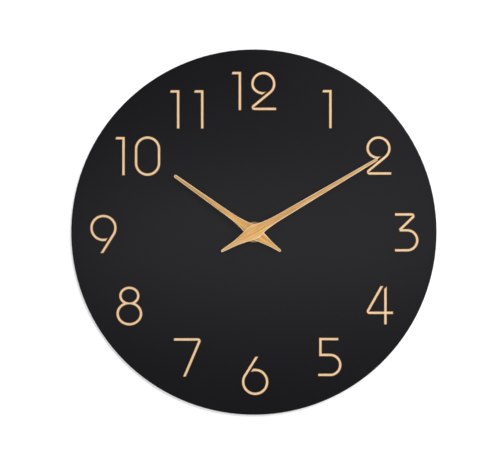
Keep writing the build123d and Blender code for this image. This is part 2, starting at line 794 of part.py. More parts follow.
def toothed(at, back, front, teeth, distance, partner, phase, pinion=False):
    """A toothed disc that meshes with a partner of so many teeth at a given distance."""
    pitch = distance * teeth / (teeth + partner)
    module = 2 * pitch / teeth
    root = pitch - tooth_depth * module
    tip = pitch + tooth_reach * module
    root_side = (leaf_root if pinion else tooth_root) * module / 2
    tip_side = tooth_tip * module / 2
    corners = ((root, -root_side), (tip, -tip_side), (tip, tip_side), (root, root_side))
    points = []
    for tooth in range(teeth):
        middle = radians(phase) + 2 * pi * tooth / teeth
        for radius, side in corners:
            turn = middle + side / radius
            points.append((radius * cos(turn), radius * sin(turn)))
    with BuildSketch(arbor_plane(at, back)) as face:
        with BuildLine() as outline:
            Polyline(*points, close=True)
        make_face(outline.edges())
    extrude(face.sketch, amount=front - back)


minute_phase = mesh_phase(0, cannon_leaves, minute_teeth, minute_wheel_angle)
hour_phase = mesh_phase(0, minute_pinion_leaves, hour_teeth, minute_wheel_angle + 180)
knob_phase = mesh_phase(minute_phase, minute_teeth, knob_leaves, knob_angle)
intermediate_phase = mesh_phase(0, rotor_leaves, intermediate_teeth, rotor_angle + 180)
seconds_phase = mesh_phase(0, intermediate_leaves, seconds_teeth, intermediate_angle + 180)
third_phase = mesh_phase(0, seconds_leaves, third_teeth, third_angle)
centre_phase = mesh_phase(0, third_leaves, centre_teeth, third_angle + 180)

arbor_front = inner_front - shake
front_pivot = inner_front + case_wall / 2 - shake
rear_pivot = cover_thickness - boss_height + shake
minute_arbor_back = plate_back + shake / 2
pinion_back = minute_wheel_back - pinion_overlap
pinion_front = minute_wheel_front + pinion_overlap

with BuildPart() as hour_wheel:
    toothed(axis, hour_wheel_back, hour_wheel_front, hour_teeth, minute_wheel_distance,
            minute_pinion_leaves, hour_phase)
    disc(axis, hour_wheel_back, hour_hand_back + rivet_height, hour_tube_radius)
    disc(axis, hour_wheel_back, hour_hand_back + rivet_height, hour_tube_bore, Mode.SUBTRACT)
save(hour_wheel.part, "hour_wheel")

with BuildPart() as minute_arbor:
    toothed(axis, pinion_back, pinion_front, cannon_leaves, minute_wheel_distance, minute_teeth, 0, True)
    disc(axis, pinion_front, minute_hand_back + rivet_height - press_fit, minute_shaft_radius)
    disc(axis, minute_arbor_back, pinion_back, minute_journal_radius)
    disc(axis, minute_arbor_back, pinion_front, pivot_hole, Mode.SUBTRACT)
save(minute_arbor.part, "minute_arbor")

with BuildPart() as minute_wheel:
    toothed(minute_wheel_at, minute_wheel_back, minute_wheel_front, minute_teeth, minute_wheel_distance,
            cannon_leaves, minute_phase)
    toothed(minute_wheel_at, minute_wheel_front, hour_wheel_front, minute_pinion_leaves,
            minute_wheel_distance, hour_teeth, 0, True)
    disc(minute_wheel_at, plate_front + shake, arbor_front, arbor_radius)
    disc(minute_wheel_at, plate_back, front_pivot, pivot_radius)
save(minute_wheel.part, "minute_wheel")

with BuildPart() as setting_knob:
    disc(knob_at, knob_recess, knob_recess + knob_thickness, knob_radius)
    with BuildSketch(arbor_plane(knob_at, knob_recess)):
        with PolarLocations(knob_radius + knob_notch_radius / 2, knob_notches):
            Circle(knob_notch_radius)
    extrude(amount=knob_thickness, mode=Mode.SUBTRACT)
    disc(knob_at, knob_recess, pinion_back, knob_stem_radius)
    toothed(knob_at, pinion_back, pinion_front, knob_leaves, knob_distance, minute_teeth, knob_phase, True)
    disc(knob_at, pinion_front, arbor_front, arbor_radius)
    disc(knob_at, arbor_front, front_pivot, pivot_radius)
save(setting_knob.part, "setting_knob")

with BuildPart() as centre_wheel:
    toothed(axis, centre_wheel_back, centre_wheel_front, centre_teeth, third_distance, third_leaves,
            centre_phase)
    disc(axis, plate_front + shake, pinion_back - shake, minute_journal_radius + hub_width)
    disc(axis, plate_front, pinion_back, minute_journal_radius + running_fit, Mode.SUBTRACT)
save(centre_wheel.part, "centre_wheel")

with BuildPart() as third_wheel:
    toothed(third_at, third_wheel_back, third_wheel_front, third_teeth, third_distance, seconds_leaves,
            third_phase)
    toothed(third_at, centre_wheel_back - pinion_overlap, centre_wheel_front + pinion_overlap, third_leaves,
            third_distance, centre_teeth, 0, True)
    disc(third_at, third_wheel_back - shake, third_wheel_front + shake, hub_radius)
    disc(third_at, shoulder, arbor_front, arbor_radius)
    disc(third_at, rear_pivot, front_pivot, pivot_radius)
save(third_wheel.part, "third_wheel")

with BuildPart() as seconds_wheel:
    toothed(axis, seconds_wheel_back, seconds_wheel_front, seconds_teeth, intermediate_distance,
            intermediate_leaves, seconds_phase)
    toothed(axis, seconds_wheel_front, third_wheel_front + pinion_overlap, seconds_leaves, third_distance,
            third_teeth, 0, True)
    disc(axis, shoulder, seconds_wheel_back, arbor_radius)
    disc(axis, rear_pivot, pinion_back, pivot_radius)
save(seconds_wheel.part, "seconds_wheel")

with BuildPart() as intermediate_wheel:
    toothed(intermediate_at, intermediate_wheel_back, intermediate_wheel_front, intermediate_teeth,
            rotor_distance, rotor_leaves, intermediate_phase)
    toothed(intermediate_at, intermediate_wheel_front, seconds_wheel_front + pinion_overlap,
            intermediate_leaves, intermediate_distance, seconds_teeth, 0, True)
    disc(intermediate_at, shoulder, plate_back - shake, arbor_radius)
    disc(intermediate_at, rear_pivot, plate_front, pivot_radius)
save(intermediate_wheel.part, "intermediate_wheel")

magnet_back = intermediate_wheel_front + magnet_wheel_gap
magnet_front = plate_back - magnet_plate_gap
with BuildPart() as rotor_pinion:
    toothed(rotor_at, intermediate_wheel_back - pinion_overlap, magnet_back, rotor_leaves, rotor_distance,
            intermediate_teeth, 0, True)
    disc(rotor_at, shoulder, plate_back - shake, arbor_radius)
    disc(rotor_at, rear_pivot, plate_front, pivot_radius)
save(rotor_pinion.part, "rotor_pinion")

with BuildPart() as rotor_magnet:
    disc(rotor_at, magnet_back, magnet_front, magnet_radius)
    disc(rotor_at, magnet_back, magnet_front, arbor_radius + press_fit, Mode.SUBTRACT)
save(rotor_magnet.part, "rotor_magnet")

# ---------------------------------------------------------------- motor

with BuildPart() as stator:
    block(stator_left, stator_right, stator_low, stator_high, stator_back, stator_front)
    block(stator_left, stator_left + stator_arm, stator_low, stator_top, stator_back, stator_front)
    block(stator_right - stator_arm, stator_right, stator_low, stator_top, stator_back, stator_front)
    disc(rotor_at, stator_back, stator_front, rotor_hole, Mode.SUBTRACT)
    fillet(stator.edges().filter_by(Axis.Y).group_by(Axis.Z)[0], radius=stator_round)
save(stator.part, "stator")

core_low = core_z - core_height / 2
core_high = core_z + core_height / 2
with BuildPart() as coil_core:
    block(stator_left, stator_right, core_low, core_high, stator_front, core_front)
save(coil_core.part, "coil_core")

bobbin_left = stator_left + stator_arm + shake
bobbin_right = stator_right - stator_arm - shake
core_middle = stator_front + core_thickness / 2
bore_half_height = core_height / 2 + press_fit
bore_half_depth = core_thickness / 2 + press_fit
with BuildPart() as coil_bobbin:
    block(bobbin_left, bobbin_right, core_z - bore_half_height - bobbin_wall,
          core_z + bore_half_height + bobbin_wall, core_middle - bore_half_depth - bobbin_wall,
          core_middle + bore_half_depth + bobbin_wall)
    for left in (bobbin_left, bobbin_right - flange_thickness):
        block(left, left + flange_thickness, core_z - flange_height / 2, core_z + flange_height / 2,
              core_middle - flange_height / 2, core_middle + flange_height / 2)
    block(bobbin_left, bobbin_right, core_z - bore_half_height, core_z + bore_half_height,
          core_middle - bore_half_depth, core_middle + bore_half_depth, Mode.SUBTRACT)
save(coil_bobbin.part, "coil_bobbin")

with BuildPart() as coil_winding:
    with BuildSketch(Plane.YZ.offset(bobbin_left + flange_thickness)):
        with Locations((-core_middle, core_z)):
            Circle(winding_radius)
            Rectangle(2 * (bore_half_depth + bobbin_wall + press_fit),
                      2 * (bore_half_height + bobbin_wall + press_fit), mode=Mode.SUBTRACT)
    extrude(amount=bobbin_right - bobbin_left - 2 * flange_thickness)
save(coil_winding.part, "coil_winding")

# ---------------------------------------------------------------- electronics, contacts, cell

with BuildPart() as circuit_board:
    block(board_left, board_right, board_bottom, board_top, board_back, board_front)
save(circuit_board.part, "circuit_board")

with BuildPart() as driver_chip:
    disc((board_left + chip_inset, board_middle), board_back - chip_height, board_back, chip_radius)
    chamfer(driver_chip.faces().sort_by(Axis.Y)[-1].edges(), length=chip_slope)
save(driver_chip.part, "driver_chip")

with BuildPart() as quartz_crystal:
    with BuildSketch(Plane.YZ.offset(board_left + crystal_inset)):
        with Locations((-(board_back - crystal_radius - press_fit), board_middle)):
            Circle(crystal_radius)
    extrude(amount=crystal_length)
    chamfer(quartz_crystal.edges().filter_by(GeomType.CIRCLE), length=crystal_edge)
save(quartz_crystal.part, "quartz_crystal")

strip_x = inner - strip_thickness / 2
contact_low = bay_middle - contact_height / 2
contact_high = bay_middle + contact_height / 2
contact_back = cell_height - contact_width / 2
contact_front = cell_height + contact_width / 2
cell_tip = inner - strip_thickness - press_fit
cell_end = spring_room - inner

with BuildPart() as contact_positive:
    block(inner - strip_thickness, inner, contact_low, contact_high, contact_back, contact_front)
    with BuildSketch(level(strip_back)):
        with BuildLine():
            FilletPolyline((strip_x, contact_low), (strip_x, board_bottom + strip_thickness),
                           (board_right + press_fit, board_bottom + strip_thickness), radius=strip_bend)
        trace(line_width=strip_thickness)
    extrude(amount=strip_width)
save(contact_positive.part, "contact_positive")

with BuildPart() as contact_negative:
    block(-inner, strip_thickness - inner, contact_low, contact_high, contact_back, contact_front)
    with BuildSketch(level(strip_back)):
        with BuildLine():
            FilletPolyline((-strip_x, contact_low), (-strip_x, strip_x), (board_left + strip_inset, strip_x),
                           (board_left + strip_inset, board_top + press_fit), radius=strip_bend)
        trace(line_width=strip_thickness)
    extrude(amount=strip_width)
    # sprung leaf that presses on the flat end of the cell
    with BuildSketch(level(cell_height - strip_width)):
        with BuildLine():
            Polyline((-strip_x, contact_low), (cell_end - strip_thickness, bay_middle),
                     (-strip_x, contact_high))
        trace(line_width=strip_thickness)
    extrude(amount=2 * strip_width)
save(contact_negative.part, "contact_negative")

with BuildPart() as battery_cell:
    with BuildSketch(Plane.YZ.offset(cell_end)):
        with Locations((-cell_height, bay_middle)):
            Circle(cell_diameter / 2)
    extrude(amount=cell_tip - nub_length - cell_end)
    chamfer(battery_cell.edges().filter_by(GeomType.CIRCLE), length=cell_crimp)
    with BuildSketch(Plane.YZ.offset(cell_tip - nub_length)):
        with Locations((-cell_height, bay_middle)):
            Circle(nub_radius)
    extrude(amount=nub_length)
save(battery_cell.part, "battery_cell")
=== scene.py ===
import bmesh
import bpy
from math import cos, pi, radians, sin
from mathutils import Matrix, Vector


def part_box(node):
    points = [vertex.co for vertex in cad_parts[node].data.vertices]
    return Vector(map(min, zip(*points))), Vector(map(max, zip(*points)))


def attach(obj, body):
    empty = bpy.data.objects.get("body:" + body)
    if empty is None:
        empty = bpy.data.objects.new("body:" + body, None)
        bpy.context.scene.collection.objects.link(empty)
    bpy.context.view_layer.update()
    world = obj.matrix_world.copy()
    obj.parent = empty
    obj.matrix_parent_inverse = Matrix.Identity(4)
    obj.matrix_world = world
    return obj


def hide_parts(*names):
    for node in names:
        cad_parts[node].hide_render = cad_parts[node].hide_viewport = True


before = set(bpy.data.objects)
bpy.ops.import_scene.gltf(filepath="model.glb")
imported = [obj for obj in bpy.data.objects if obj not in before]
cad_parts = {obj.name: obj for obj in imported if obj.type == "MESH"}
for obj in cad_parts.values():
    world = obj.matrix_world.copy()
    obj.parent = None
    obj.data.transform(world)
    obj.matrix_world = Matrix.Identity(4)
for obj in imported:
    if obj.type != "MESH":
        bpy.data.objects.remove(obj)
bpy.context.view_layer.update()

# ---------------------------------------------------------------- movement case and rear cover
# The case is a deep tray and its cover snaps on from behind. Both are injection moulded in black
# ABS, from a tool whose faces were spark eroded, so they are matt with a fine even grain.


def linear(colour):
    """The linear colour of an sRGB hex value such as 1C1C1E."""
    channels = [int(colour[i:i + 2], 16) / 255 for i in (0, 2, 4)]
    return [c / 12.92 if c <= 0.04045 else ((c + 0.055) / 1.055) ** 2.4 for c in channels] + [1.0]


def add_node(tree, kind, inputs=None, **settings):
    """Add a node with its settings, and give each input a value or a link."""
    made = tree.nodes.new(kind)
    for name, value in settings.items():
        setattr(made, name, value)
    for socket, value in (inputs or {}).items():
        if isinstance(value, bpy.types.NodeSocket):
            tree.links.new(value, made.inputs[socket])
        else:
            made.inputs[socket].default_value = value
    return made


def new_finish(name):
    """An empty node material and its tree."""
    finish = bpy.data.materials.new(name)
    finish.use_nodes = True
    finish.node_tree.nodes.clear()
    return finish, finish.node_tree


def grained(name, dark, light, grain, roughness, spread, relief,
            stretch=(1, 1, 1), metallic=0.0):
    """A finish whose colour, gloss and relief follow one grain, whose size is in metres.

    The gloss swings by the spread to each side of the roughness.
    """
    finish, tree = new_finish(name)
    place = add_node(tree, "ShaderNodeTexCoord").outputs["Object"]
    laid = add_node(tree, "ShaderNodeMapping", {"Vector": place, "Scale": stretch}).outputs[0]
    grit = add_node(tree, "ShaderNodeTexNoise",
                    {"Vector": laid, "Scale": 1 / grain, "Detail": 3.0, "Roughness": 0.6})
    clouds = 0.06 / grain  # patches about 17 grains wide
    cloud = add_node(tree, "ShaderNodeTexNoise", {"Vector": laid, "Scale": clouds, "Detail": 2.0})
    both = add_node(tree, "ShaderNodeMath", {0: grit.outputs["Fac"], 1: cloud.outputs["Fac"]},
                    operation="MULTIPLY").outputs[0]
    share = add_node(tree, "ShaderNodeMapRange",
                     {"Value": both, "From Min": 0.12, "From Max": 0.4}).outputs[0]
    tint = add_node(tree, "ShaderNodeMix", {0: share, 6: linear(dark), 7: linear(light)},
                    data_type="RGBA").outputs[2]
    gloss = add_node(tree, "ShaderNodeMapRange",
                     {"Value": share, "To Min": roughness + spread,
                      "To Max": roughness - spread}).outputs[0]
    bump = add_node(tree, "ShaderNodeBump",
                    {"Height": grit.outputs["Fac"], "Distance": relief}).outputs[0]
    skin = add_node(tree, "ShaderNodeBsdfPrincipled",
                    {"Base Color": tint, "Roughness": gloss, "Normal": bump,
                     "Metallic": metallic})
    add_node(tree, "ShaderNodeOutputMaterial", {"Surface": skin.outputs[0]})
    return finish


def coat(finish, *nodes):
    """Give CAD nodes their finish."""
    for name in nodes:
        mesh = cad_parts[name].data
        mesh.materials.clear()
        mesh.materials.append(finish)


# Spark-eroded black ABS: charcoal, never quite black. The real grain is too fine to see, and it
# is drawn 0.4 mm wide.
black_abs = grained("moulded_black_abs", "1B1B1D", "29292B", grain=0.0004, roughness=0.58,
                    spread=0.08, relief=0.00002)
coat(black_abs, "front_case", "rear_cover")

# ---------------------------------------------------------------- middle plate and wheels
# The plate and the wheels are moulded in natural acetal, a milky off-white that is a little waxy.
# The arbors turn in it without oil, so the surfaces come smooth from a polished tool.

# Natural acetal of the plate: cool white, satin, with faint flow clouds about 2 mm across.
plate_acetal = grained("moulded_natural_acetal", "DAD9D2", "E9E8E2", grain=0.002, roughness=0.36,
                       spread=0.05, relief=0.00001)
for socket, value in (("Subsurface Weight", 0.1), ("Subsurface Scale", 0.001)):
    plate_acetal.node_tree.nodes["Principled BSDF"].inputs[socket].default_value = value
coat(plate_acetal, "middle_plate")

# The wheels' acetal has a drop of cream in it, and a glossier face.
wheel_acetal = grained("moulded_cream_acetal", "DDD2B4", "EDE5CC", grain=0.0015, roughness=0.3,
                       spread=0.05, relief=0.00001)
coat(wheel_acetal, "hour_wheel", "minute_wheel", "seconds_wheel", "centre_wheel",
     "third_wheel", "intermediate_wheel", "rotor_pinion")

# ---------------------------------------------------------------- motor
# The rotor is a small ring magnet. It stands in a stator punched from nickel iron sheet, whose
# flux comes from a core inside a nylon bobbin that is wound with enamelled copper wire.

# Bonded ferrite magnet: grey-black and faintly metallic. Its powdery grain is too fine to see,
# and is drawn 0.3 mm wide.
ferrite = grained("bonded_ferrite", "2E2D2F", "464548", grain=0.0003, roughness=0.5,
                  spread=0.08, relief=0.00001, metallic=0.35)
coat(ferrite, "rotor_magnet")

# Annealed nickel iron: dull silver with rolling lines that run along the sheet. They are drawn
# 0.2 mm apart, which is wider than the real ones, so that they show.
soft_iron = grained("annealed_nickel_iron", "8F8E8A", "B4B3AE", grain=0.0002, roughness=0.38,
                    spread=0.08, relief=0.000005, stretch=(0.05, 1, 1), metallic=1.0)
coat(soft_iron, "stator", "coil_core")

# Black nylon: moulded smooth, a little glossier than the case.
nylon = grained("moulded_black_nylon", "1A1A1C", "28282A", grain=0.001, roughness=0.4,
                spread=0.05, relief=0.00001)
coat(nylon, "coil_bobbin")

# Enamelled copper: a red-brown metal under a clear varnish, with a sharp gloss and 1 mm clouds.
wire_clouds_per_metre = 900.0
copper, copper_tree = new_finish("enamelled_copper_wire")
wire_place = add_node(copper_tree, "ShaderNodeTexCoord").outputs["Object"]
wire_cloud = add_node(copper_tree, "ShaderNodeTexNoise",
                      {"Vector": wire_place, "Scale": wire_clouds_per_metre})
wire_tint = add_node(copper_tree, "ShaderNodeMix",
                     {0: wire_cloud.outputs["Fac"], 6: linear("A8512A"), 7: linear("C97343")},
                     data_type="RGBA").outputs[2]
wire_skin = add_node(copper_tree, "ShaderNodeBsdfPrincipled",
                     {"Base Color": wire_tint, "Metallic": 1.0, "Roughness": 0.32,
                      "Coat Weight": 0.8, "Coat Roughness": 0.08})
add_node(copper_tree, "ShaderNodeOutputMaterial", {"Surface": wire_skin.outputs[0]})


def shape_tree(name, sizes):
    """A Geometry Nodes tree with named sizes as inputs. Returns the tree, inputs and output."""
    tree = bpy.data.node_groups.new(name, "GeometryNodeTree")
    tree.interface.new_socket("Geometry", in_out="INPUT", socket_type="NodeSocketGeometry")
    tree.interface.new_socket("Geometry", in_out="OUTPUT", socket_type="NodeSocketGeometry")
    for label, kind in sizes.items():
        tree.interface.new_socket(label, in_out="INPUT", socket_type=kind)
    return tree, add_node(tree, "NodeGroupInput").outputs, add_node(tree, "NodeGroupOutput")


def grown(name, core, tree, values):
    """The plain mesh that a Geometry Nodes tree makes from a core mesh and its sizes."""
    seed = bpy.data.objects.new(name + "_core", core)
    bpy.context.scene.collection.objects.link(seed)
    growth = seed.modifiers.new("growth", "NODES")
    growth.node_group = tree
    for item in tree.interface.items_tree:
        if item.in_out == "INPUT" and item.name in values:
            growth[item.identifier] = values[item.name]
    grown_mesh = bpy.data.meshes.new_from_object(
        seed.evaluated_get(bpy.context.evaluated_depsgraph_get()))
    grown_mesh.name = name
    bpy.data.objects.remove(seed)
    piece = bpy.data.objects.new(name, grown_mesh)
    bpy.context.scene.collection.objects.link(piece)
    return piece


# The turns lie side by side on the bobbin. The real wire is 0.1 mm thick, and it is drawn 0.28 mm
# thick here so that single turns can be seen.
turn_pitch = 0.00029
wire_radius = 0.00014
tightest_turn = 0.975  # share of the coil's radius that the smallest turn has
low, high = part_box("coil_winding")
coil_length = high.x - low.x
coil_radius = (high.y - low.y) / 2
winding_tree, size, made = shape_tree("wire_turns", {
    "Turns": "NodeSocketInt", "Pitch": "NodeSocketFloat", "Start": "NodeSocketVector",
    "Turn radius": "NodeSocketFloat", "Wire radius": "NodeSocketFloat",
    "Seed": "NodeSocketInt", "Finish": "NodeSocketMaterial"})
step = add_node(winding_tree, "ShaderNodeCombineXYZ", {"X": size["Pitch"]}).outputs[0]
turns = add_node(winding_tree, "GeometryNodeMeshLine",
                 {"Count": size["Turns"], "Start Location": size["Start"], "Offset": step})
hoop = add_node(winding_tree, "GeometryNodeCurvePrimitiveCircle",
                {"Resolution": 24, "Radius": size["Turn radius"]})
section = add_node(winding_tree, "GeometryNodeCurvePrimitiveCircle",
                   {"Resolution": 6, "Radius": size["Wire radius"]})
loop = add_node(winding_tree, "GeometryNodeCurveToMesh",
                {"Curve": hoop.outputs[0], "Profile Curve": section.outputs[0]})
upright = add_node(winding_tree, "GeometryNodeTransform",
                   {"Geometry": loop.outputs[0], "Rotation": (0, pi / 2, 0)})
slack = add_node(winding_tree, "FunctionNodeRandomValue",
                 {2: tightest_turn, 3: 1.0, "Seed": size["Seed"]}, data_type="FLOAT")
placed = add_node(winding_tree, "GeometryNodeInstanceOnPoints",
                  {"Points": turns.outputs[0], "Instance": upright.outputs[0],
                   "Scale": slack.outputs[1]})
solid = add_node(winding_tree, "GeometryNodeRealizeInstances", {"Geometry": placed.outputs[0]})
finished = add_node(winding_tree, "GeometryNodeSetMaterial",
                    {"Geometry": solid.outputs[0], "Material": size["Finish"]})
winding_tree.links.new(finished.outputs[0], made.inputs[0])

turn_count = int((coil_length - 2 * wire_radius) / turn_pitch) + 1
winding = grown("wound_coil", bpy.data.meshes.new("coil_former"), winding_tree, {
    "Turns": turn_count, "Pitch": turn_pitch,
    "Start": (low.x + wire_radius, (low.y + high.y) / 2, (low.z + high.z) / 2),
    "Turn radius": coil_radius - wire_radius, "Wire radius": wire_radius,
    "Seed": 7, "Finish": copper})
winding.data.shade_smooth()
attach(winding, "movement")
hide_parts("coil_winding")

# ---------------------------------------------------------------- circuit board
# A strip of glass fibre laminate carries the driver under a drop of black epoxy, and a
# tuning-fork crystal in a drawn can. Its printed copper tracks are tinned with solder.

# Glass fibre laminate: leaf green with a fine cloudy weave, crossed by tinned tracks 0.7 mm wide.
fibre_grain = 0.0004
track_pitch = 0.0028
track_width = 0.0007
laminate, board_tree = new_finish("glass_fibre_board_with_tinned_tracks")
board_place = add_node(board_tree, "ShaderNodeTexCoord").outputs["Object"]
fibres = add_node(board_tree, "ShaderNodeTexNoise",
                  {"Vector": board_place, "Scale": 1 / fibre_grain, "Detail": 3.0})
green = add_node(board_tree, "ShaderNodeMix",
                 {0: fibres.outputs["Fac"], 6: linear("5E7B4B"), 7: linear("789762")},
                 data_type="RGBA").outputs[2]
board_axes = add_node(board_tree, "ShaderNodeSeparateXYZ", {"Vector": board_place})
across = add_node(board_tree, "ShaderNodeMath",
                  {0: board_axes.outputs["Z"], 1: track_pitch / 2},
                  operation="PINGPONG").outputs[0]
track = add_node(board_tree, "ShaderNodeMath", {0: across, 1: track_width / 2},
                 operation="LESS_THAN").outputs[0]
board_tint = add_node(board_tree, "ShaderNodeMix", {0: track, 6: green, 7: linear("C4C2BC")},
                      data_type="RGBA").outputs[2]
board_gloss = add_node(board_tree, "ShaderNodeMapRange",
                       {"Value": track, "To Min": 0.55, "To Max": 0.28}).outputs[0]
board_step = add_node(board_tree, "ShaderNodeBump",
                      {"Height": track, "Distance": 0.00004}).outputs[0]
board_skin = add_node(board_tree, "ShaderNodeBsdfPrincipled",
                      {"Base Color": board_tint, "Metallic": track, "Roughness": board_gloss,
                       "Normal": board_step})
add_node(board_tree, "ShaderNodeOutputMaterial", {"Surface": board_skin.outputs[0]})
coat(laminate, "circuit_board")

# Black epoxy: a glossy drop that sagged before it set.
resin = grained("cast_black_epoxy", "0E0E10", "19191B", grain=0.0008, roughness=0.16,
                spread=0.05, relief=0.00002)
coat(resin, "driver_chip")

# Drawn can: tinplate, bright silver with lines along the draw, drawn 0.2 mm apart to show.
tinplate = grained("drawn_tinplate", "B9BABB", "DADBDC", grain=0.0002, roughness=0.2,
                   spread=0.06, relief=0.000004, stretch=(0.06, 1, 1), metallic=1.0)
coat(tinplate, "quartz_crystal")

# ---------------------------------------------------------------- contacts and cell
# Two strips of nickel-plated spring steel are bent into the bay, and an AA cell snaps between
# them. The cell is a drawn steel can in a shrunk plastic jacket, which is plain and unprinted.

# Nickel plate on spring steel: a warm silver. The fine lines from the drawing of the strip are
# set 0.15 mm apart, wider than the real ones, so that they show.
nickel = grained("nickel_plated_steel", "A5A097", "CBC6BB", grain=0.00015, roughness=0.26,
                 spread=0.07, relief=0.000004, stretch=(1, 1, 0.08), metallic=1.0)
coat(nickel, "contact_positive", "contact_negative")

# Jacket: glossy mid-grey film with small scuffs, open at both ends, where the steel is bare.
low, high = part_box("battery_cell")
film_start = 0.012  # shares of the cell's length between which the film covers the can
film_end = 0.962
scuffs_per_metre = 700.0
scuffed_shade = (0.7, 0.7, 0.71, 1)
jacket, cell_tree = new_finish("shrunk_film_on_steel_can")
cell_place = add_node(cell_tree, "ShaderNodeTexCoord").outputs["Object"]
cell_axes = add_node(cell_tree, "ShaderNodeSeparateXYZ", {"Vector": cell_place})
along = add_node(cell_tree, "ShaderNodeMapRange",
                 {"Value": cell_axes.outputs["X"], "From Min": low.x, "From Max": high.x})
film = add_node(cell_tree, "ShaderNodeValToRGB", {"Fac": along.outputs[0]})
film.color_ramp.interpolation = "CONSTANT"
film.color_ramp.elements[0].color = linear("C9C7C2")
film.color_ramp.elements[1].position = film_start
film.color_ramp.elements[1].color = linear("8C8C91")
film.color_ramp.elements.new(film_end).color = linear("C9C7C2")
bare = add_node(cell_tree, "ShaderNodeValToRGB", {"Fac": along.outputs[0]})
bare.color_ramp.interpolation = "CONSTANT"
bare.color_ramp.elements[0].color = (1, 1, 1, 1)
bare.color_ramp.elements[1].position = film_start
bare.color_ramp.elements[1].color = (0, 0, 0, 1)
bare.color_ramp.elements.new(film_end).color = (1, 1, 1, 1)
scuffs = add_node(cell_tree, "ShaderNodeTexNoise",
                  {"Vector": cell_place, "Scale": scuffs_per_metre, "Detail": 4.0})
cell_tint = add_node(cell_tree, "ShaderNodeMix",
                     {0: scuffs.outputs["Fac"], 6: film.outputs[0], 7: scuffed_shade},
                     data_type="RGBA", blend_type="MULTIPLY").outputs[2]
cell_gloss = add_node(cell_tree, "ShaderNodeMapRange",
                      {"Value": scuffs.outputs["Fac"], "To Min": 0.2, "To Max": 0.38}).outputs[0]
cell_bump = add_node(cell_tree, "ShaderNodeBump",
                     {"Height": scuffs.outputs["Fac"], "Distance": 0.00001}).outputs[0]
cell_skin = add_node(cell_tree, "ShaderNodeBsdfPrincipled",
                     {"Base Color": cell_tint, "Metallic": bare.outputs[0],
                      "Roughness": cell_gloss, "Normal": cell_bump})
add_node(cell_tree, "ShaderNodeOutputMaterial", {"Surface": cell_skin.outputs[0]})
coat(jacket, "battery_cell")

# ---------------------------------------------------------------- setting knob
# The knob turns the minute wheel by hand. It is moulded with its pinion in black acetal, which is
# smoother than the case.

# Black acetal: a soft gloss, with faint flow clouds about 1 mm across.
knob_acetal = grained("moulded_black_acetal", "202022", "323234", grain=0.0012, roughness=0.38,
                      spread=0.08, relief=0.00001)
coat(knob_acetal, "setting_knob")

# ---------------------------------------------------------------- hanger plate
# The hanger is blanked and bent from 0.8 mm steel strip and then zinc plated. The plating is a
# bluish silver that clouds in patches a few millimetres wide over the lines of the rolling.

# Zinc plate: patches 4 mm across over rolling lines. The lines are drawn 0.25 mm apart, so that
# they show, and 17 times as long.
patches_per_metre = 260.0
rolling_line = 0.00025
drawn_out = 0.06
line_share = 0.45  # how much of the colour follows the lines, the rest follows the patches
zinc, zinc_tree = new_finish("zinc_plated_steel_strip")
zinc_place = add_node(zinc_tree, "ShaderNodeTexCoord").outputs["Object"]
patches = add_node(zinc_tree, "ShaderNodeTexVoronoi",
                   {"Vector": zinc_place, "Scale": patches_per_metre})
rolled = add_node(zinc_tree, "ShaderNodeMapping",
                  {"Vector": zinc_place, "Scale": (1, drawn_out, drawn_out)}).outputs[0]
lines = add_node(zinc_tree, "ShaderNodeTexNoise",
                 {"Vector": rolled, "Scale": 1 / rolling_line, "Detail": 2.0})
zinc_share = add_node(zinc_tree, "ShaderNodeMix",
                      {0: line_share, 2: patches.outputs["Color"], 3: lines.outputs["Fac"]},
                      data_type="FLOAT").outputs[0]
zinc_tint = add_node(zinc_tree, "ShaderNodeMix",
                     {0: zinc_share, 6: linear("9FA4AA"), 7: linear("C6CACE")},
                     data_type="RGBA").outputs[2]
zinc_gloss = add_node(zinc_tree, "ShaderNodeMapRange",
                      {"Value": zinc_share, "To Min": 0.3, "To Max": 0.44}).outputs[0]
zinc_bump = add_node(zinc_tree, "ShaderNodeBump",
                     {"Height": lines.outputs["Fac"], "Distance": 0.000006}).outputs[0]
zinc_skin = add_node(zinc_tree, "ShaderNodeBsdfPrincipled",
                     {"Base Color": zinc_tint, "Metallic": 1.0, "Roughness": zinc_gloss,
                      "Normal": zinc_bump})
add_node(zinc_tree, "ShaderNodeOutputMaterial", {"Surface": zinc_skin.outputs[0]})
coat(zinc, "hanger_plate")

# ---------------------------------------------------------------- gasket
# A washer moulded in black rubber takes up the slack between the hanger and the dial.
# Its skin is matt, with the mark of the mould's blasted face and a bloom of grey.

# Black rubber: dull and dry. The blasted grain is drawn half a millimetre wide so that it shows.
rubber = grained("moulded_black_rubber", "18181A", "2A2A2C", grain=0.0005, roughness=0.8,
                 spread=0.06, relief=0.00003)
coat(rubber, "rubber_gasket")

# ---------------------------------------------------------------- dial
# The dial is a disc routed from 5 mm fibreboard with a rounded edge, and sprayed with matt black
# lacquer on both faces. It dries to a soft sheen with an orange peel, and dead matt on the edge.

